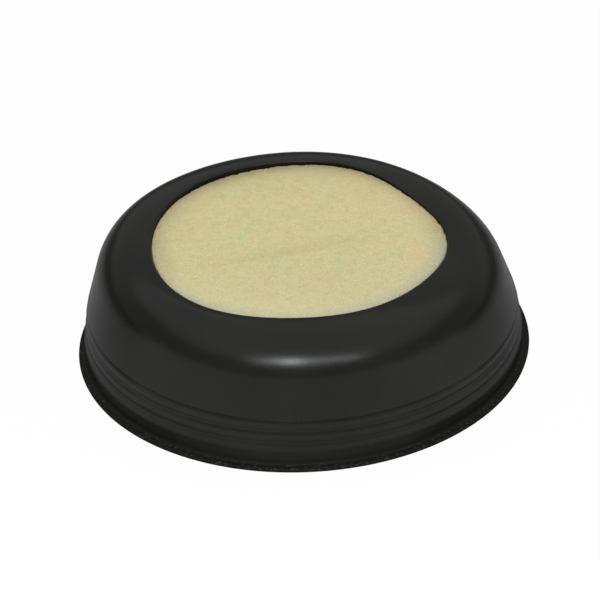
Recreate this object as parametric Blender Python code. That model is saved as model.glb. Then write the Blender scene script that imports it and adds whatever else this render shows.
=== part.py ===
import math

import bmesh
import bpy

for old in list(bpy.data.objects):
    bpy.data.objects.remove(old, do_unlink=True)

# Driving dimensions, in metres; angles in degrees

# Cover: a moulded rubber shell, open above for the sponge and below for the dish
BASE_DIAMETER = 0.0900  # over the lip that stands on the desk
BODY_HEIGHT = 0.0250  # desk to the level line of the top round
OPENING_DIAMETER = 0.0600  # clear opening for the fingers
COVER_WALL = 0.0022  # rubber thickness of the top and the shoulder
SHOULDER_RADIUS = 0.0108  # outer round between the top and the wall
WALL_LEAN = 18.2  # the wall leans in from the vertical
LIP_THICKNESS = 0.0009  # edge of the flared lip, fully rounded
LIP_REACH = 0.0014  # how far the lip stands out past the beads
SKIRT_THICKNESS = 0.0026  # lip edge to the bore that takes the dish
SEAT_LEDGE = 0.0008  # step in the bore that sits on the dish

# Three fine beads round the foot of the wall
BEAD_COUNT = 3
BEAD_PITCH = 0.0022
BEAD_RELIEF = 0.00035
BEAD_BAND_BOTTOM = 0.0039  # height of the lowest groove
BEAD_BAND_LEAN = 10.0
WALL_STEP = 0.00020  # the wall overhangs the top groove by this much

# Water dish: a cup on a wide flange that plugs the cover from below
CUP_WALL = 0.0015
CUP_FLOOR = 0.0020
CUP_DRAFT = 1.5
CUP_FILLET = 0.0015  # inner corner between the floor and the wall
DRIP_OVERHANG = 0.0014  # the opening's edge stands this far inside the cup
FLANGE_THICKNESS = 0.0020
FLANGE_CHAMFER = 0.0004
TOP_CLEARANCE = 0.0015  # room for the soft top to give above the cup's rim

# Sponge disc
SPONGE_GAP = 0.0008  # round the sponge, in the opening
SPONGE_RECESS = 0.0013  # its edge lies this far below the cover's top
SPONGE_CROWN = 0.0006
SPONGE_EDGE = 0.0016

FIT_GAP = 0.0003  # between pieces that seat on each other

# Smoothness of the turned shapes
TURN_STEPS = 72
SHOULDER_STEPS = 9
ROUND_STEPS = 6
BEAD_STEPS = 6
CROWN_STEPS = 4
SMOOTH_ANGLE = 35.0
WELD_DISTANCE = 1e-6  # points that the turning brings together


def arc(center, radius, start, end, steps):
    """Points of an arc; angles run from straight up towards the outside."""
    points = []
    for i in range(steps + 1):
        angle = start + (end - start) * i / steps
        points.append((center[0] + radius * math.sin(angle), center[1] + radius * math.cos(angle)))
    return points


# Outline values that the pieces share
lean = math.radians(WALL_LEAN)
base_radius = BASE_DIAMETER / 2
opening_radius = OPENING_DIAMETER / 2
edge_radius = COVER_WALL / 2
inner_shoulder_radius = SHOULDER_RADIUS - COVER_WALL

band_height = BEAD_COUNT * BEAD_PITCH
band_top = BEAD_BAND_BOTTOM + band_height
band_foot_radius = base_radius - LIP_REACH
band_top_radius = band_foot_radius - band_height * math.tan(math.radians(BEAD_BAND_LEAN))
wall_foot = (band_top_radius + WALL_STEP, band_top)

# The shoulder is one arc that meets the leaning wall and the rolled edge of the opening without a corner
shoulder_height = BODY_HEIGHT - SHOULDER_RADIUS
wall_top_height = shoulder_height + SHOULDER_RADIUS * math.sin(lean)
wall_top_radius = wall_foot[0] - (wall_top_height - band_top) * math.tan(lean)
shoulder_center = (wall_top_radius - SHOULDER_RADIUS * math.cos(lean), shoulder_height)
edge_offset = max(0.0, opening_radius + edge_radius - shoulder_center[0])
edge_angle = math.asin(edge_offset / (SHOULDER_RADIUS - edge_radius))
edge_height = shoulder_height + (SHOULDER_RADIUS - edge_radius) * math.cos(edge_angle)
edge_center = (opening_radius + edge_radius, edge_height)

bore_radius = base_radius - SKIRT_THICKNESS
seat_radius = bore_radius - SEAT_LEDGE
seat_height = FLANGE_THICKNESS + FIT_GAP

cup_top_radius = opening_radius + DRIP_OVERHANG
cup_outer_radius = cup_top_radius + CUP_WALL
roof_offset = max(0.0, cup_outer_radius - shoulder_center[0])
roof_height = shoulder_center[1] + math.sqrt(inner_shoulder_radius**2 - roof_offset**2)
cup_rim_height = roof_height - TOP_CLEARANCE
cup_floor_radius = cup_top_radius - (cup_rim_height - CUP_FLOOR) * math.tan(math.radians(CUP_DRAFT))


def material(name, color, roughness):
    made = bpy.data.materials.new(name)
    made.use_nodes = True
    shader = made.node_tree.nodes["Principled BSDF"]
    shader.inputs["Base Color"].default_value = (*color, 1.0)
    shader.inputs["Roughness"].default_value = roughness
    shader.inputs["Metallic"].default_value = 0.0
    return made


def place(name, mesh, finish):
    mesh.shade_smooth()
    mesh.set_sharp_from_angle(angle=math.radians(SMOOTH_ANGLE))
    mesh.materials.append(finish)
    made = bpy.data.objects.new(name, mesh)
    bpy.context.scene.collection.objects.link(made)
    return made


def turned(name, profile, finish, closed):
    """A profile of (radius, height) points turned about the vertical axis."""
    shape = bmesh.new()
    points = [shape.verts.new((radius, 0.0, height)) for radius, height in profile]
    edges = [shape.edges.new(pair) for pair in zip(points, points[1:])]
    if closed:
        edges.append(shape.edges.new((points[-1], points[0])))
    bmesh.ops.spin(
        shape,
        geom=points + edges,
        cent=(0, 0, 0),
        axis=(0, 0, 1),
        angle=2 * math.pi,
        steps=TURN_STEPS,
        use_merge=True,
    )
    bmesh.ops.remove_doubles(shape, verts=shape.verts, dist=WELD_DISTANCE)
    bmesh.ops.recalc_face_normals(shape, faces=shape.faces)
    mesh = bpy.data.meshes.new(name)
    shape.to_mesh(mesh)
    shape.free()
    return place(name, mesh, finish)


def bead_points():
    """The three beads from the top groove down to the lowest one."""
    points = [(band_top_radius, band_top)]
    slope = math.tan(math.radians(BEAD_BAND_LEAN))
    for bead in range(BEAD_COUNT):
        for step in range(1, BEAD_STEPS + 1):
            turn = math.pi * step / BEAD_STEPS
            drop = BEAD_PITCH * (bead + (1 - math.cos(turn)) / 2)
            points.append((band_top_radius + drop * slope + BEAD_RELIEF * math.sin(turn), band_top - drop))
    return points


def flare_points():
    """The hollow flare from under the beads out to the lip, then round its edge to the desk."""
    lip_center = (base_radius - LIP_THICKNESS / 2, LIP_THICKNESS / 2)
    top = (band_foot_radius + BEAD_RELIEF / 2, BEAD_BAND_BOTTOM - BEAD_RELIEF)
    points = []
    for step in range(ROUND_STEPS):
        turn = math.pi / 2 * step / ROUND_STEPS
        reach = (lip_center[0] - top[0]) * (1 - math.cos(turn))
        drop = (top[1] - LIP_THICKNESS) * math.sin(turn)
        points.append((top[0] + reach, top[1] - drop))
    return points + arc(lip_center, LIP_THICKNESS / 2, 0, math.pi, ROUND_STEPS)


def make_cover(finish):
    wall_angle = math.pi / 2 - lean
    profile = arc(shoulder_center, SHOULDER_RADIUS, edge_angle, wall_angle, SHOULDER_STEPS)
    profile += [wall_foot] + bead_points() + flare_points()
    profile += [(bore_radius, 0.0), (bore_radius, seat_height), (seat_radius, seat_height)]
    profile += arc(shoulder_center, inner_shoulder_radius, wall_angle, edge_angle, ROUND_STEPS)
    profile += arc(edge_center, edge_radius, edge_angle + math.pi, edge_angle + 2 * math.pi, ROUND_STEPS)
    return turned("cover", profile, finish, closed=True)


def make_water_dish(finish):
    flange_radius = bore_radius - FIT_GAP
    draft = math.radians(CUP_DRAFT)
    fillet_center = (cup_floor_radius - CUP_FILLET, CUP_FLOOR + CUP_FILLET)
    outer_foot_radius = cup_outer_radius - (cup_rim_height - FLANGE_THICKNESS) * math.tan(draft)
    rim_center = (cup_top_radius + CUP_WALL / 2, cup_rim_height - CUP_WALL / 2)
    profile = [(0.0, CUP_FLOOR)]
    profile += arc(fillet_center, CUP_FILLET, math.pi, math.pi / 2, ROUND_STEPS)
    profile += arc(rim_center, CUP_WALL / 2, -math.pi / 2, math.pi / 2, ROUND_STEPS)
    profile += [
        (outer_foot_radius, FLANGE_THICKNESS),
        (flange_radius - FLANGE_CHAMFER, FLANGE_THICKNESS),
        (flange_radius, FLANGE_THICKNESS - FLANGE_CHAMFER),
        (flange_radius, FLANGE_CHAMFER),
        (flange_radius - FLANGE_CHAMFER, 0.0),
        (0.0, 0.0),
    ]
    return turned("water_dish", profile, finish, closed=False)


def make_sponge(finish):
    radius = opening_radius - SPONGE_GAP
    bottom = CUP_FLOOR + FIT_GAP
    top = BODY_HEIGHT - SPONGE_RECESS
    flat = radius - SPONGE_EDGE
    profile = []
    for step in range(CROWN_STEPS):
        share = step / CROWN_STEPS
        profile.append((flat * share, top + SPONGE_CROWN * (1 - share**2)))
    profile += arc((flat, top - SPONGE_EDGE), SPONGE_EDGE, 0, math.pi / 2, ROUND_STEPS)
    profile += arc((flat, bottom + SPONGE_EDGE), SPONGE_EDGE, math.pi / 2, math.pi, ROUND_STEPS)
    profile += [(0.0, bottom)]
    return turned("sponge", profile, finish, closed=False)


make_cover(material("satin_black_rubber", (0.018, 0.018, 0.018), 0.42))
make_water_dish(material("black_moulded_plastic", (0.022, 0.022, 0.023), 0.5))
make_sponge(material("straw_yellow_foam", (0.61, 0.55, 0.29), 0.95))
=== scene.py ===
import math

import bpy
import numpy as np
from mathutils import Matrix, Vector, noise


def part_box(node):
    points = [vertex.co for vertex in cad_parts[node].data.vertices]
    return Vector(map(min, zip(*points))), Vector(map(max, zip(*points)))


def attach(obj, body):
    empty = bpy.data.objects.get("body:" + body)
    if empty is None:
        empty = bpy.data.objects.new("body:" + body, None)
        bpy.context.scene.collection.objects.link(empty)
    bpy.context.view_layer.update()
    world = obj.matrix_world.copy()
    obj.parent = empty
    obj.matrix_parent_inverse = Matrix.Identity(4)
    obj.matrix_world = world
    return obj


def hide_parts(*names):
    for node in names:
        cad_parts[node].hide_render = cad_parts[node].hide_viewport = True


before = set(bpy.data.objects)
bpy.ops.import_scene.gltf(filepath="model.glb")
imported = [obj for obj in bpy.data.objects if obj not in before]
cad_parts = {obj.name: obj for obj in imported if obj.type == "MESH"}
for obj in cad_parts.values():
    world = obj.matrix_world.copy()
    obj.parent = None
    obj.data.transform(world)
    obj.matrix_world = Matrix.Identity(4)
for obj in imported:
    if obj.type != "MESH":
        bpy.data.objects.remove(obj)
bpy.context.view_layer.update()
mm = 0.001
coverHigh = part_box("cover")[1]
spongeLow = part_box("sponge")[0]
print("frame loaded, cover", round(coverHigh.x * 2 / mm, 1), "mm across")


class Wire:  # one output of a shader node, so that maths on it reads as plain Python
    def __init__(self, tree, socket=None):
        self.tree = tree
        self.socket = socket

    def node(self, kind, settings=None, inputs=None, out=0):
        made = self.tree.nodes.new(kind)
        for name, value in (settings or {}).items():
            setattr(made, name, value)
        for name, value in (inputs or {}).items():
            if isinstance(value, Wire):
                self.tree.links.new(value.socket, made.inputs[name])
            else:
                made.inputs[name].default_value = value
        return Wire(self.tree, made.outputs[out] if made.outputs else None)

    def maths(self, operation, first, second):
        return self.node("ShaderNodeMath", {"operation": operation}, {0: first, 1: second})

    def __add__(self, other):
        return self.maths("ADD", self, other)

    def __radd__(self, other):
        return self.maths("ADD", other, self)

    def __sub__(self, other):
        return self.maths("SUBTRACT", self, other)

    def __rsub__(self, other):
        return self.maths("SUBTRACT", other, self)

    def __mul__(self, other):
        return self.maths("MULTIPLY", self, other)

    def __rmul__(self, other):
        return self.maths("MULTIPLY", other, self)

    def between(self, low, high):  # 0 at low, 1 at high, smooth
        return self.node("ShaderNodeMapRange", {"interpolation_type": "SMOOTHSTEP"},
                         {"Value": self, "From Min": low, "From Max": high})

    def blend(self, first, second):  # colour mix with this value as the share of the second
        return self.node("ShaderNodeMix", {"data_type": "RGBA"}, {0: self, 6: first, 7: second}, out=2)

    def grain(self, size, detail=2.0, roughness=0.5, seed=0.0):  # noise with lumps of about this size
        return self.node("ShaderNodeTexNoise", {"noise_dimensions": "4D"},
                         {"Vector": self, "W": seed, "Scale": 1 / size, "Detail": detail,
                          "Roughness": roughness})


def newFinish(name):
    finish = bpy.data.materials.new(name)
    finish.use_nodes = True
    shader = finish.node_tree.nodes["Principled BSDF"]
    place = Wire(finish.node_tree).node("ShaderNodeTexCoord", out="Object")
    return finish, shader, place


def plug(shader, name, wire):
    wire.tree.links.new(wire.socket, shader.inputs[name])


def bumped(shader, height, depth, strength):
    bump = height.node("ShaderNodeBump", None,
                       {"Height": height, "Distance": depth, "Strength": strength})
    plug(shader, "Normal", bump)


# Camera at the photograph's viewing angle
cameraView = {
    "elevation": 33.34,  # degrees above the desk
    "distance": 0.550,
    "aim": (-0.00037, 0.0, 0.00972),
    "roll": -2.67,  # degrees
    "lens": 164.0,  # millimetres
    "clipStart": 0.01,
}


def makeCamera():
    elevation = math.radians(cameraView["elevation"])
    aim = Vector(cameraView["aim"])
    reach = cameraView["distance"]
    spot = Vector((aim.x, -reach * math.cos(elevation), reach * math.sin(elevation)))
    ahead = (aim - spot).normalized()
    right = ahead.cross(Vector((0, 0, 1))).normalized()
    right = Matrix.Rotation(math.radians(cameraView["roll"]), 3, -ahead) @ right
    up = right.cross(ahead)
    lensData = bpy.data.cameras.new("deskCamera")
    lensData.lens = cameraView["lens"]
    lensData.clip_start = cameraView["clipStart"]
    camera = bpy.data.objects.new("deskCamera", lensData)
    bpy.context.scene.collection.objects.link(camera)
    axes = Matrix((right, up, -ahead)).transposed().to_4x4()
    camera.matrix_world = Matrix.Translation(spot) @ axes
    bpy.context.scene.camera = camera


makeCamera()
print("camera set")


def meshPiece(name, points, faces, finish):
    mesh = bpy.data.meshes.new(name)
    mesh.from_pydata(points.tolist(), [], faces)
    mesh.validate()
    mesh.shade_smooth()
    mesh.materials.append(finish)
    piece = bpy.data.objects.new(name, mesh)
    bpy.context.scene.collection.objects.link(piece)
    return piece


# Rubber cover: the solid's turned outline drawn finer, with its edge, beads and lip measured again
coverForm = {
    "opening": 60.0 * mm,
    "wall": 2.2 * mm,
    "edgeCorner": 0.30 * mm,
    "shoulder": 10.8 * mm,
    "topLine": 25.0 * mm,
    "lean": math.radians(18.2),
    "lipThickness": 0.9 * mm,
    "lipReach": 1.446 * mm,  # from the foot of the beads out to the lip's edge
    "flareTurn": 3.0,  # over 1 keeps the hollow above the lip steep for longer
    "lipSpread": 0.2 * mm,  # the soft lip lies a little wider than the solid
    "skirt": 2.6 * mm,
    "ledge": 0.8 * mm,
    "ledgeHeight": 2.3 * mm,
    "boreCorner": 0.2 * mm,
    "beadPitch": 7.1 / 3 * mm,  # three beads in 7.1 mm
    "beadRelief": (0.28 * mm, 0.24 * mm, 0.20 * mm),  # from the top down
    "beadTurn": 1.1,  # over 1 narrows each bead a little
    "bandBottom": 3.2 * mm,
    "bandLean": math.radians(10.0),
    "wallStep": 0.20 * mm,  # how far the wall's foot stands out over the band of beads
    "wallStepDrop": 0.05 * mm,
    "turns": 288,  # faces round the axis
    "steps": {"shoulder": 30, "wall": 8, "bead": 14, "flare": 12, "lip": 10, "inside": 16,
              "lowerCorner": 6, "upperCorner": 8},  # along the outline
    "sharpest": math.radians(50),  # edges that turn more than this stay crisp
}


def arcPoints(centre, radius, start, end, steps):
    angles = np.linspace(start, end, steps + 1)
    return [(centre[0] + radius * math.sin(a), centre[1] + radius * math.cos(a)) for a in angles]


def straight(first, last, steps):  # points between two ends, without them
    return [(first[0] + (last[0] - first[0]) * k / steps, first[1] + (last[1] - first[1]) * k / steps)
            for k in range(1, steps)]


def coverOutline():
    form = coverForm
    baseRadius = coverHigh.x + form["lipSpread"]
    corner = form["edgeCorner"]
    bandHeight = len(form["beadRelief"]) * form["beadPitch"]
    bandTop = form["bandBottom"] + bandHeight
    footRadius = baseRadius - form["lipReach"]
    topRadius = footRadius - bandHeight * math.tan(form["bandLean"])
    wallFoot = (topRadius + form["wallStep"], bandTop)
    roundHeight = form["topLine"] - form["shoulder"]
    wallTop = roundHeight + form["shoulder"] * math.sin(form["lean"])
    wallTopRadius = wallFoot[0] - (wallTop - bandTop) * math.tan(form["lean"])
    centre = (wallTopRadius - form["shoulder"] * math.cos(form["lean"]), roundHeight)
    cornerRadius = form["opening"] / 2 + corner
    upperTurn = math.asin((cornerRadius - centre[0]) / (form["shoulder"] - corner))
    lowerTurn = math.asin((cornerRadius - centre[0]) / (form["shoulder"] - form["wall"] + corner))
    upper = (cornerRadius, roundHeight + (form["shoulder"] - corner) * math.cos(upperTurn))
    lower = (cornerRadius, roundHeight + (form["shoulder"] - form["wall"] + corner) * math.cos(lowerTurn))
    wallTurn = math.pi / 2 - form["lean"]

    steps = form["steps"]
    outline = arcPoints(centre, form["shoulder"], upperTurn, wallTurn, steps["shoulder"])
    outline += straight(outline[-1], wallFoot, steps["wall"])
    outline += [wallFoot, (topRadius, bandTop - form["wallStepDrop"])]
    for bead, relief in enumerate(form["beadRelief"]):
        for step in range(1, steps["bead"] + 1):
            share = step / steps["bead"]
            drop = form["beadPitch"] * (bead + share)
            bulge = relief * math.sin(math.pi * share) ** form["beadTurn"]
            outline.append((topRadius + drop * math.tan(form["bandLean"]) + bulge, bandTop - drop))
    lipRound = form["lipThickness"] / 2
    lipCentre = (baseRadius - lipRound, lipRound)
    for step in range(1, steps["flare"]):
        turn = math.pi / 2 * step / steps["flare"]
        outward = (lipCentre[0] - footRadius) * (1 - math.cos(turn)) ** form["flareTurn"]
        drop = (form["bandBottom"] - form["lipThickness"]) * math.sin(turn)
        outline.append((footRadius + outward, form["bandBottom"] - drop))
    outline += arcPoints(lipCentre, lipRound, 0, math.pi, steps["lip"])
    bore = coverHigh.x - form["skirt"]
    boreCorner = form["boreCorner"]
    ledge = (bore - form["ledge"], form["ledgeHeight"])
    outline += [(bore + boreCorner, 0.0), (bore, boreCorner), (bore, form["ledgeHeight"]), ledge]
    inner = arcPoints(centre, form["shoulder"] - form["wall"], wallTurn, lowerTurn, steps["inside"])
    outline += straight(ledge, inner[0], steps["wall"]) + inner
    outline += arcPoints(lower, corner, lowerTurn + math.pi, 1.5 * math.pi, steps["lowerCorner"])[1:]
    outline += arcPoints(upper, corner, 1.5 * math.pi, upperTurn + 2 * math.pi, steps["upperCorner"])[:-1]
    return outline


def turnedShell(outline, turns):  # closed ring of an outline turned about Z
    count = len(outline)
    ring = np.array(outline)
    angles = np.arange(turns) * 2 * math.pi / turns
    points = np.empty((turns, count, 3))
    points[:, :, 0] = np.cos(angles)[:, None] * ring[:, 0]
    points[:, :, 1] = np.sin(angles)[:, None] * ring[:, 0]
    points[:, :, 2] = ring[:, 1]
    faces = []
    for i in range(turns):
        j = (i + 1) % turns
        for k in range(count):
            m = (k + 1) % count
            faces.append((i * count + k, i * count + m, j * count + m, j * count + k))
    return points.reshape(-1, 3), faces


# The soft rubber has settled a little: its top is not quite level or round, and the opening less so.
# heave, spread, mouth and sag hold pairs of cos and sin shares, for the angle about Z taken 0, 1, 2... times.
settling = {
    "lean": 0.0302,  # drop of the top per length along +X
    "shift": 0.0072,  # sideways per length of height
    "heave": ((0, 0), (0, 0.058 * mm), (-0.084 * mm, 0.248 * mm),
              (-0.320 * mm, -0.041 * mm)),  # rise of the top
    "spread": ((0.044 * mm, 0), (-0.389 * mm, -0.162 * mm), (0.044 * mm, -0.765 * mm)),  # its growth
    "mouth": ((-0.850 * mm, 0), (-0.445 * mm, -0.862 * mm), (-0.410 * mm, 0.669 * mm),
              (0.386 * mm, -0.454 * mm), (-0.053 * mm, -0.039 * mm), (0.298 * mm, 0.026 * mm),
              (0.154 * mm, -0.028 * mm)),  # growth of the opening alone
    "sag": ((-0.085 * mm, 0), (-0.082 * mm, 0.013 * mm), (-0.123 * mm, -0.079 * mm), (0.054 * mm, 0),
            (-0.047 * mm, 0.035 * mm)),  # rise of the opening's edge alone
    "mouthEnds": (35.5 * mm, 31 * mm),  # radii where the last two start and are full
    "mouthShares": (0.98, 0.85),  # of the spread, at the upper and the lower edge of the opening
}


def harmonics(rows, angle):
    return sum(c * np.cos(k * angle) + s * np.sin(k * angle) for k, (c, s) in enumerate(rows))


def smooth(share):
    share = np.clip(share, 0, 1)
    return share * share * (3 - 2 * share)


def settle(points):
    x, y, z = points[:, 0], points[:, 1], points[:, 2]
    angle = np.arctan2(y, x)
    reach = np.hypot(x, y)
    rise = z / coverHigh.z
    start, full = settling["mouthEnds"]
    inward = smooth((start - reach) / (start - full))
    mouth = harmonics(settling["mouth"], angle) * inward
    grow = 1 + (harmonics(settling["spread"], angle) * rise**2 + mouth) / reach
    moved = np.empty_like(points)
    moved[:, 0] = x * grow + settling["shift"] * z
    moved[:, 1] = y * grow
    moved[:, 2] = z - settling["lean"] * x * rise + harmonics(settling["heave"], angle) * rise**2
    moved[:, 2] += harmonics(settling["sag"], angle) * inward
    return moved


def mouthReach(angle):  # radius of the settled opening where it is narrowest, at its upper or lower edge
    edge = coverForm["opening"] / 2
    spread = harmonics(settling["spread"], angle)
    upper, lower = settling["mouthShares"]
    return edge + np.minimum(spread * upper, spread * lower) + harmonics(settling["mouth"], angle)


rubberLook = {
    "colour": (0.0062, 0.0062, 0.0046, 1),
    "bloom": (0.0097, 0.0097, 0.0080, 1),  # paler, drier patches
    "hollowShade": (0.0028, 0.0028, 0.0014, 1),  # painted shade in the hollow above the lip
    "scuff": (0.060, 0.060, 0.052, 1),  # rubbed specks along the foot
    "bloomSize": 14 * mm,
    "bloomEnds": (0.35, 0.75),  # noise levels between which it comes in
    "grainSize": 0.35 * mm,
    "grainDepth": 0.02 * mm,
    "grainStrength": 0.25,
    "footEnds": (0.9 * mm, 2.4 * mm),  # heights between which the painted shade above the lip and the rougher foot fade
    "scuffSize": 0.45 * mm,
    "scuffEnds": (0.57, 0.73),
    "scuffTop": (1.0 * mm, 1.25 * mm),  # heights between which the specks end
    "scuffShare": 0.6,
    "roughness": 0.25,
    "roughBloom": 0.05,  # what the patches, the grain and the foot add to it
    "roughGrain": 0.06,
    "roughFoot": 0.5,
    "specular": 0.24,
}


def satinRubber():
    look = rubberLook
    finish, shader, place = newFinish("satinRubber")
    shader.inputs["Specular IOR Level"].default_value = look["specular"]
    cloudy = place.grain(look["bloomSize"], detail=3.0)
    fine = place.grain(look["grainSize"], seed=1.3)
    rise = place.node("ShaderNodeSeparateXYZ", None, {0: place}, out="Z")
    foot = 1 - rise.between(*look["footEnds"])
    colour = cloudy.between(*look["bloomEnds"]).blend(look["colour"], look["bloom"])
    # painted shade: the hollow above the lip is darkened towards the foot
    colour = foot.blend(colour, look["hollowShade"])
    nose = 1 - rise.between(*look["scuffTop"])
    scuffs = place.grain(look["scuffSize"], detail=1.0, seed=4.4).between(*look["scuffEnds"]) * nose
    plug(shader, "Base Color", (look["scuffShare"] * scuffs).blend(colour, look["scuff"]))
    roughness = look["roughness"] + look["roughBloom"] * (cloudy - 0.5) + look["roughGrain"] * (fine - 0.5)
    plug(shader, "Roughness", roughness + look["roughFoot"] * foot)
    bumped(shader, fine, look["grainDepth"], look["grainStrength"])
    return finish


def makeCover():
    points, faces = turnedShell(coverOutline(), coverForm["turns"])
    cover = meshPiece("rubberCover", settle(points), faces, satinRubber())
    cover.data.set_sharp_from_angle(angle=coverForm["sharpest"])
    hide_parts("cover")
    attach(cover, "cover")


makeCover()
print("rubber cover made")


# Sponge: an open-cell foam disc that fills the opening and leans with it
spongeForm = {
    "radius": 29.2 * mm,
    "swell": 1.6 * mm,  # how far the top may spread past that
    "ease": 0.03 * mm,  # room left inside the opening
    "footEase": 0.1 * mm,  # how far the foot stays inside the radius
    "taper": 1.5,  # over 1 ends the taper above the foot
    "middle": 25.58 * mm,  # height of the top there
    "puff": 1.5 * mm,  # how far the middle stands over the edge
    "puffEnd": 3.2 * mm,  # how far in from the edge that is mostly done
    "tilt": (-0.0316, 0.0003),  # rise per length along X and Y
    "edgeLift": ((0.18 * mm, 0), (0, 0), (0.18 * mm, 0)),  # squeezed up at two sides, pairs as in settling
    "edgeRound": (0.6 * mm, 0.20 * mm),  # inwards and down
    "cells": 200,  # quads across the top
    "sideRings": 40,
    "poreSize": 0.60 * mm,
    "poreReach": 0.55,  # radius of a pore, as a share of that size
    "poreDepth": 0.12 * mm,
    "ragged": 0.50 * mm,
    "raggedSize": 0.60 * mm,
    "raggedWidth": 1.6 * mm,  # band of the top along its edge
    "raggedLift": (0.08, 0.5),  # share of it on the whole top, and added at the edge
    "raggedPush": 0.35,  # share of it inwards, at the edge and on the sides
    "poreFade": 0.7,  # share of the pores' depth that is lost at the edge
    "porePush": 0.3,  # the same for the pores
    "sideShare": 0.3,  # how rough the sides are, where the edge is 1
    "footClear": 0.5 * mm,  # height of the foot that stays plain
    "fold": (-5.6 * mm, 0.30),  # a shallow fold: where it crosses the Y axis, and its rise along X
    "foldDepth": 0.13 * mm,
    "foldWidth": 1.7 * mm,
    "foldMiddle": -3 * mm,  # along X
    "foldHalf": (9 * mm, 19 * mm),  # how far from there it starts to fade, and ends
}


def discGrid(cells):  # a square grid drawn out into a unit disc, with even quads
    step = np.linspace(-1, 1, cells + 1)
    u, v = np.meshgrid(step, step, indexing="ij")
    wide = np.abs(u) >= np.abs(v)
    tiny = 1e-12  # instead of a division by 0
    safeU = np.where(np.abs(u) < tiny, tiny, u)
    safeV = np.where(np.abs(v) < tiny, tiny, v)
    radius = np.where(wide, u, v)
    angle = np.where(wide, math.pi / 4 * v / safeU, math.pi / 2 - math.pi / 4 * u / safeV)
    return np.stack([radius * np.cos(angle), radius * np.sin(angle)], -1)


def rimLoop(cells):  # grid corners in order round the edge
    n = cells
    loop = [(n, k) for k in range(n)] + [(n - k, n) for k in range(n)]
    return loop + [(0, n - k) for k in range(n)] + [(k, 0) for k in range(n)]


def porePits(points):  # 0 on a cell wall, 1 in the middle of a pore
    near = np.array([noise.voronoi(Vector(p) / spongeForm["poreSize"])[0][0] for p in points])
    return np.maximum(0, 1 - near / spongeForm["poreReach"])


def spongeReach(angle):
    form = spongeForm
    return np.minimum(form["radius"] + form["swell"], mouthReach(angle) - form["ease"])


def spongeTop(x, y):
    form = spongeForm
    angle = np.arctan2(y, x)
    gap = spongeReach(angle) - np.hypot(x, y)
    puff = -form["puff"] * np.exp(-gap / form["puffEnd"])
    heave = harmonics(settling["heave"], angle) + harmonics(form["edgeLift"], angle)
    heave = heave * (x * x + y * y) / (coverForm["opening"] / 2) ** 2
    start, slope = form["fold"]
    near, far = form["foldHalf"]
    fold = np.exp(-((y - start - slope * x) / form["foldWidth"]) ** 2)
    fold = fold * smooth((far - np.abs(x - form["foldMiddle"])) / (far - near))
    level = form["middle"] + form["tilt"][0] * x + form["tilt"][1] * y
    return level + puff + heave - form["foldDepth"] * fold


def spongePoints():
    form = spongeForm
    disc = discGrid(form["cells"])
    reach = np.hypot(disc[..., 0], disc[..., 1])
    angle = np.arctan2(disc[..., 1], disc[..., 0])
    radius = spongeReach(angle)
    inner = 1 - form["edgeRound"][0] / radius
    past = np.clip((reach - inner) / (1 - inner), 0, 1)
    spread = np.where(past > 0, inner + (1 - inner) * np.sin(past * math.pi / 2), reach)
    x = np.cos(angle) * spread * radius
    y = np.sin(angle) * spread * radius
    z = spongeTop(x, y) - form["edgeRound"][1] * (1 - np.cos(past * math.pi / 2))
    top = np.stack([x, y, z], -1)
    loop = rimLoop(form["cells"])
    edge = np.array([top[i, j] for i, j in loop])
    slim = np.minimum(1, (form["radius"] - form["footEase"]) / np.hypot(edge[:, 0], edge[:, 1]))
    sides = []
    for ring in range(1, form["sideRings"] + 1):
        share = ring / form["sideRings"]
        row = edge.copy()
        row[:, :2] *= (1 + (slim - 1) * smooth(share * form["taper"]))[:, None]  # down to what fits the dish
        row[:, 2] += (spongeLow.z - edge[:, 2]) * share
        sides.append(row)
    return top, loop, np.array(sides)


def spongeFaces(loop, centre):
    cells = spongeForm["cells"]
    across = cells + 1
    faces = []
    for i in range(cells):
        for j in range(cells):
            k = i * across + j
            faces.append((k, k + across, k + across + 1, k + 1))
    count = len(loop)
    above = [i * across + j for i, j in loop]
    for ring in range(spongeForm["sideRings"]):
        below = [across * across + ring * count + k for k in range(count)]
        for k in range(count):
            m = (k + 1) % count
            faces.append((above[k], below[k], below[m], above[m]))
        above = below
    for k in range(count):
        faces.append((above[k], centre, above[(k + 1) % count]))
    return faces


def roughen(points, topCount):  # open cells and a ragged edge
    form = spongeForm
    pits = porePits(points) * form["poreDepth"]
    fuzz = np.array([noise.noise(Vector(p) / form["raggedSize"]) for p in points]) * form["ragged"]
    reach = np.hypot(points[:, 0], points[:, 1])
    outward = points[:, :2] / np.maximum(reach, mm)[:, None]
    onTop = np.arange(len(points)) < topCount
    gap = spongeReach(np.arctan2(points[:, 1], points[:, 0])) - reach
    edgeShare = np.where(onTop, np.clip(1 - gap / form["raggedWidth"], 0, 1), form["sideShare"])
    above = points[:, 2] > spongeLow.z + form["footClear"]
    whole, added = form["raggedLift"]
    lift = fuzz * (whole + added * edgeShare) - pits * (1 - form["poreFade"] * edgeShare)
    points[:, 2] += np.where(onTop, lift, 0)
    push = np.where(above, -form["raggedPush"] * np.abs(fuzz) - pits * form["porePush"], 0)
    points[:, :2] += outward * (push * edgeShare)[:, None]
    points[:, 0] += settling["shift"] * points[:, 2]


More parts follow.
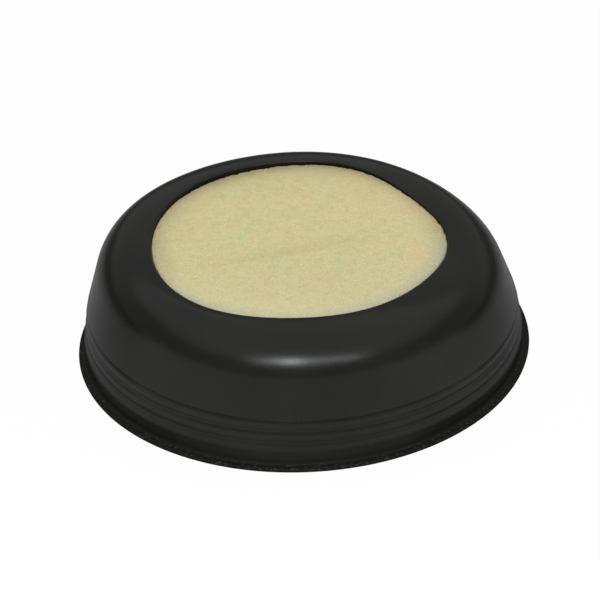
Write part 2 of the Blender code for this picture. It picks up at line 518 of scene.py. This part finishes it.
foamLook = {
    "straw": (0.664, 0.592, 0.316, 1),
    "warm": (0.686, 0.571, 0.304, 1),
    "warmPatch": (9 * mm, 0.45, 0.70),  # size, then noise levels between which it comes in
    "green": (0.624, 0.606, 0.321, 1),
    "greenPatch": (6 * mm, 0.50, 0.72),
    "deep": (0.520, 0.458, 0.237, 1),  # darker lumps, and the colour of the painted shade along the fold
    "deepLump": (1.5 * mm, 0.42, 0.70),
    "deepShare": 0.34,
    "shaded": (0.305, 0.240, 0.142, 1),  # painted shade along the edge under the rim and towards the back
    "edgeShare": 0.65,
    "edgeLeast": 0.1,  # how much of the edge's tone the front keeps
    "rearShare": 0.10,
    "middle": (0.1 * mm, 1.8 * mm, 0),  # from the middle of the opening to the origin
    "edgeEnds": (20.6 * mm, 30.3 * mm),  # radii between which the edge darkens
    "facing": 0.18,  # how far the front edge is turned towards +X
    "frontEnds": (-17 * mm, 1 * mm),  # where behind the front the edge takes its full tone
    "rearEnds": (12 * mm, 28 * mm),  # where along Y the back darkens
    "pale": (0.448, 0.452, 0.362, 1),  # painted sheen along the front and right edge
    "paleMiddle": (1.5 * mm, 0, 0),
    "paleEnds": (26.8 * mm, 30.4 * mm),  # radii about that
    "paleBack": (-9 * mm, -2 * mm),  # where behind the front it fades
    "paleFront": (-20 * mm, -4 * mm),  # the same for its faint inner part
    "paleShares": (0.62, 0.13),  # of the edge and of that inner part
    # share of painted shade along the fold's crease
    "foldShade": 0.28,
    "foldWander": (4.5 * mm, 7 * mm),  # how far it strays sideways, and over what length
    "pore": (0.425, 0.365, 0.176, 1),
    "cell": 0.42 * mm,
    "cellEnds": (0.10, 0.50),  # where in a cell the pore's tone fades
    "cellShare": 0.35,
    "fineSize": 0.22 * mm,
    "fineEnds": (0.40, 0.62),
    "fineShare": 0.13,
    "fleck": (0.800, 0.750, 0.520, 1),
    "fleckPatch": (0.5 * mm, 0.66, 0.75),
    "fleckShare": 0.6,
    "bumpDepth": 0.12 * mm,
    "bumpStrength": 0.45,
    "bumpEnd": 0.6,  # where in a cell its wall is full
    "bumpFine": 0.5,
    "roughness": 0.95,
    "specular": 0.15,
}


def flatReach(place, offset):  # distance from a point in plan
    flat = place.node("ShaderNodeVectorMath", {"operation": "MULTIPLY_ADD"},
                      {0: place, 1: (1, 1, 0), 2: offset})
    return place.node("ShaderNodeVectorMath", {"operation": "LENGTH"}, {0: flat}, out="Value")


def foldLine(place, across, along):  # 1 along the fold, 0 away from it
    form = spongeForm
    start, slope = form["fold"]
    near, far = form["foldHalf"]
    stray, length = foamLook["foldWander"]
    wander = stray * (place.grain(length, seed=6.3) - 0.5)
    off = along - start - slope * across + wander
    end = across - form["foldMiddle"]
    beside = (off * off).between(0, (2 * form["foldWidth"]) ** 2)
    past = (end * end).between(near**2, far**2)
    return (1 - beside) * (1 - past)


def patches(place, patch, detail=2.0, seed=0.0):  # 0 to 1, from a size and two noise levels
    size, low, high = patch
    return place.grain(size, detail, seed=seed).between(low, high)


def foam():
    look = foamLook
    finish, shader, place = newFinish("spongeFoam")
    shader.inputs["Roughness"].default_value = look["roughness"]
    shader.inputs["Specular IOR Level"].default_value = look["specular"]
    cells = place.node("ShaderNodeTexVoronoi", None, {"Vector": place, "Scale": 1 / look["cell"]})
    fine = place.grain(look["fineSize"], detail=3.0)
    across = place.node("ShaderNodeSeparateXYZ", None, {0: place}, out="X")
    along = place.node("ShaderNodeSeparateXYZ", None, {0: place}, out="Y")
    facing = along - look["facing"] * across
    # painted shade: the edge darkens under the rim, least at the lit front, and the back darkens away from
    # the lamps
    edge = flatReach(place, look["middle"]).between(*look["edgeEnds"])
    edge = edge * edge * (look["edgeLeast"] + (1 - look["edgeLeast"]) * facing.between(*look["frontEnds"]))
    rear = along.between(*look["rearEnds"])
    # painted sheen: the front and right edge greyed and cooled, and faintly the whole front
    sheenEdge = flatReach(place, look["paleMiddle"]).between(*look["paleEnds"])
    sheenEdge = sheenEdge * (1 - facing.between(*look["paleBack"]))
    sheenFront = 1 - facing.between(*look["paleFront"])
    colour = patches(place, look["warmPatch"]).blend(look["straw"], look["warm"])
    colour = patches(place, look["greenPatch"], seed=3.7).blend(colour, look["green"])
    colour = (look["deepShare"] * patches(place, look["deepLump"], seed=5.2)).blend(colour, look["deep"])
    # painted shade along the fold
    colour = (look["foldShade"] * foldLine(place, across, along)).blend(colour, look["deep"])
    colour = (look["paleShares"][0] * sheenEdge + look["paleShares"][1] * sheenFront).blend(colour, look["pale"])
    # painted shade at the edge and towards the back
    colour = (look["edgeShare"] * edge + look["rearShare"] * rear).blend(colour, look["shaded"])
    pore = look["cellShare"] * (1 - cells.between(*look["cellEnds"]))
    pore = pore + look["fineShare"] * (1 - fine.between(*look["fineEnds"]))
    colour = pore.blend(colour, look["pore"])
    flecks = patches(place, look["fleckPatch"], detail=1.0, seed=2.1)
    colour = (look["fleckShare"] * flecks).blend(colour, look["fleck"])
    plug(shader, "Base Color", colour)
    height = cells.between(0, look["bumpEnd"]) + look["bumpFine"] * fine
    bumped(shader, height, look["bumpDepth"], look["bumpStrength"])
    return finish


def makeSponge():
    top, loop, sides = spongePoints()
    points = np.concatenate([top.reshape(-1, 3), sides.reshape(-1, 3), [[0, 0, spongeLow.z]]])
    faces = spongeFaces(loop, len(points) - 1)
    roughen(points, top.shape[0] * top.shape[1])
    sponge = meshPiece("spongeDisc", points, faces, foam())
    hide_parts("sponge")
    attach(sponge, "sponge")


makeSponge()
print("sponge made")


# Water dish: the solid itself, in matt moulded plastic
dishLook = {
    "colour": (0.016, 0.016, 0.017, 1),
    "dry": (0.030, 0.030, 0.030, 1),  # faint water marks
    "markSize": 6 * mm,
    "markEnds": (0.52, 0.78),  # noise levels between which they come in
    "grainSize": 0.25 * mm,
    "grainDepth": 0.02 * mm,
    "grainStrength": 0.3,
    "roughness": 0.48,
    "roughMarks": 0.18,  # what the marks and the grain add to it
    "roughGrain": 0.08,
    "specular": 0.35,
}


def dishPlastic():
    look = dishLook
    finish, shader, place = newFinish("dishPlastic")
    shader.inputs["Specular IOR Level"].default_value = look["specular"]
    fine = place.grain(look["grainSize"])
    marks = place.grain(look["markSize"], detail=4.0, roughness=0.65)
    plug(shader, "Base Color", marks.between(*look["markEnds"]).blend(look["colour"], look["dry"]))
    roughness = look["roughness"] + look["roughMarks"] * (marks - 0.5) + look["roughGrain"] * (fine - 0.5)
    plug(shader, "Roughness", roughness)
    bumped(shader, fine, look["grainDepth"], look["grainStrength"])
    return finish


def dressDish():
    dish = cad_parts["water_dish"]
    dish.data.materials.clear()
    dish.data.materials.append(dishPlastic())


dressDish()
print("water dish dressed")


# Studio: a floor and a low wall round it, which the camera sees white but which carry painted shade beside,
# behind and round the object, soft light overhead and two lamps by the camera
studio = {
    "front": (0.90, 0.90, 0.90, 1),  # floor towards the camera, beside the object and behind it; beside and behind are painted shade
    "beside": (0.37, 0.37, 0.37, 1),
    "behind": (0.12, 0.12, 0.12, 1),
    "contact": (0.11, 0.11, 0.11, 1),  # shade close round the base
    "contactFront": (0.55, 0.55, 0.55, 1),  # less of it towards the lamp
    "besideEnds": (-0.070, 0.020),  # where along Y the front passes into the side, and the side into the back
    "behindEnds": (0.030, 0.250),
    "contactEnds": (0.0455, 0.056),  # from the middle
    "contactSides": (-0.050, -0.034),  # along Y
    "whiteSeen": 0.985,  # how far the camera sees all of it as plain white
    "floorMirrored": 0.55,  # how far a reflection does
    "wallMirrored": 0.92,
    "sky": 0.36,
    "floorHalf": 8.0,
    "wallTurns": 96,  # faces round the axis
    "wallRadius": 1.9,
    "wallHeight": 0.26,
}
lamps = {
    "overheadSoftbox": {
        "spot": (0, 0, 0.90), "aim": (0, 0, 0), "size": (2.5, 1.6), "power": 7.45, "colour": (1, 1, 1),
    },
    "cameraLamp": {  # small, for the bright middle of the highlight
        "spot": (-0.097, -0.604, 0.525), "aim": (0, 0, 0.02), "size": (0.12, 0.14), "power": 1.16,
        "colour": (0.94, 0.98, 1.0),
    },
    "cameraStrip": {  # wide, for its long ends
        "spot": (0.01, -0.604, 0.525), "aim": (0, 0, 0.02), "size": (0.72, 0.14), "power": 1.95,
        "colour": (0.94, 0.98, 1.0),
    },
}


def paleFinish(name, mirrored):
    finish = bpy.data.materials.new(name)
    finish.use_nodes = True
    finish.node_tree.nodes.clear()
    start = Wire(finish.node_tree)
    place = start.node("ShaderNodeTexCoord", out="Object")
    along = start.node("ShaderNodeSeparateXYZ", None, {0: place}, out="Y")
    away = start.node("ShaderNodeVectorMath", {"operation": "LENGTH"}, {0: place}, out="Value")
    clear = away.between(*studio["contactEnds"])
    behind = along.between(*studio["behindEnds"])
    beside = along.between(*studio["besideEnds"])
    # painted shade on the floor and the wall: greyer beside and behind the object, darkest close round the
    # base, and seen so in reflections
    colour = beside.blend(studio["front"], studio["beside"])
    colour = behind.blend(colour, studio["behind"])
    shade = along.between(*studio["contactSides"]).blend(studio["contactFront"], studio["contact"])
    colour = clear.blend(shade, colour)
    matt = start.node("ShaderNodeBsdfDiffuse", None, {"Color": colour})
    white = start.node("ShaderNodeEmission", None, {"Color": (1, 1, 1, 1), "Strength": 1.0})
    seen = start.node("ShaderNodeLightPath", out="Is Camera Ray")
    glossy = start.node("ShaderNodeLightPath", out="Is Glossy Ray")
    through = start.node("ShaderNodeLightPath", out="Is Transmission Ray")
    share = studio["whiteSeen"] * (seen + through) + mirrored * glossy * (1 - beside) * clear
    mixed = start.node("ShaderNodeMixShader", None, {0: share, 1: matt, 2: white})
    start.node("ShaderNodeOutputMaterial", None, {"Surface": mixed})
    return finish


def makeFloor():
    half = studio["floorHalf"]
    corners = np.array([(-half, -half, 0), (half, -half, 0), (half, half, 0), (-half, half, 0)])
    meshPiece("floor", corners, [(0, 1, 2, 3)], paleFinish("paleFloor", studio["floorMirrored"]))
    turns, radius, height = studio["wallTurns"], studio["wallRadius"], studio["wallHeight"]
    angles = np.arange(turns) * 2 * math.pi / turns
    foot = np.stack([radius * np.cos(angles), radius * np.sin(angles), np.zeros(turns)], -1)
    points = np.concatenate([foot, foot + (0, 0, height)])
    faces = [(k, (k + 1) % turns, turns + (k + 1) % turns, turns + k) for k in range(turns)]
    meshPiece("lowWall", points, faces, paleFinish("paleWall", studio["wallMirrored"]))


def makeLight(name, spot, aim, size, power, colour):
    data = bpy.data.lights.new(name, "AREA")
    data.shape = "RECTANGLE"
    data.size, data.size_y = size
    data.energy = power
    data.color = colour
    light = bpy.data.objects.new(name, data)
    bpy.context.scene.collection.objects.link(light)
    light.location = spot
    light.rotation_euler = (Vector(aim) - Vector(spot)).to_track_quat("-Z", "Y").to_euler()


def makeSky():
    sky = bpy.data.worlds.new("studioSky")
    sky.use_nodes = True
    sky.node_tree.nodes.clear()
    start = Wire(sky.node_tree)
    seen = start.node("ShaderNodeLightPath", out="Is Camera Ray")
    through = start.node("ShaderNodeLightPath", out="Is Transmission Ray")
    glow = studio["sky"] + (1 - studio["sky"]) * (seen + through)
    shown = start.node("ShaderNodeBackground", None, {"Color": (1, 1, 1, 1), "Strength": glow})
    start.node("ShaderNodeOutputWorld", None, {"Surface": shown})
    bpy.context.scene.world = sky


makeFloor()
makeSky()
for name, lamp in lamps.items():
    makeLight(name, **lamp)
bpy.context.scene.view_settings.view_transform = "Standard"
print("studio lit")
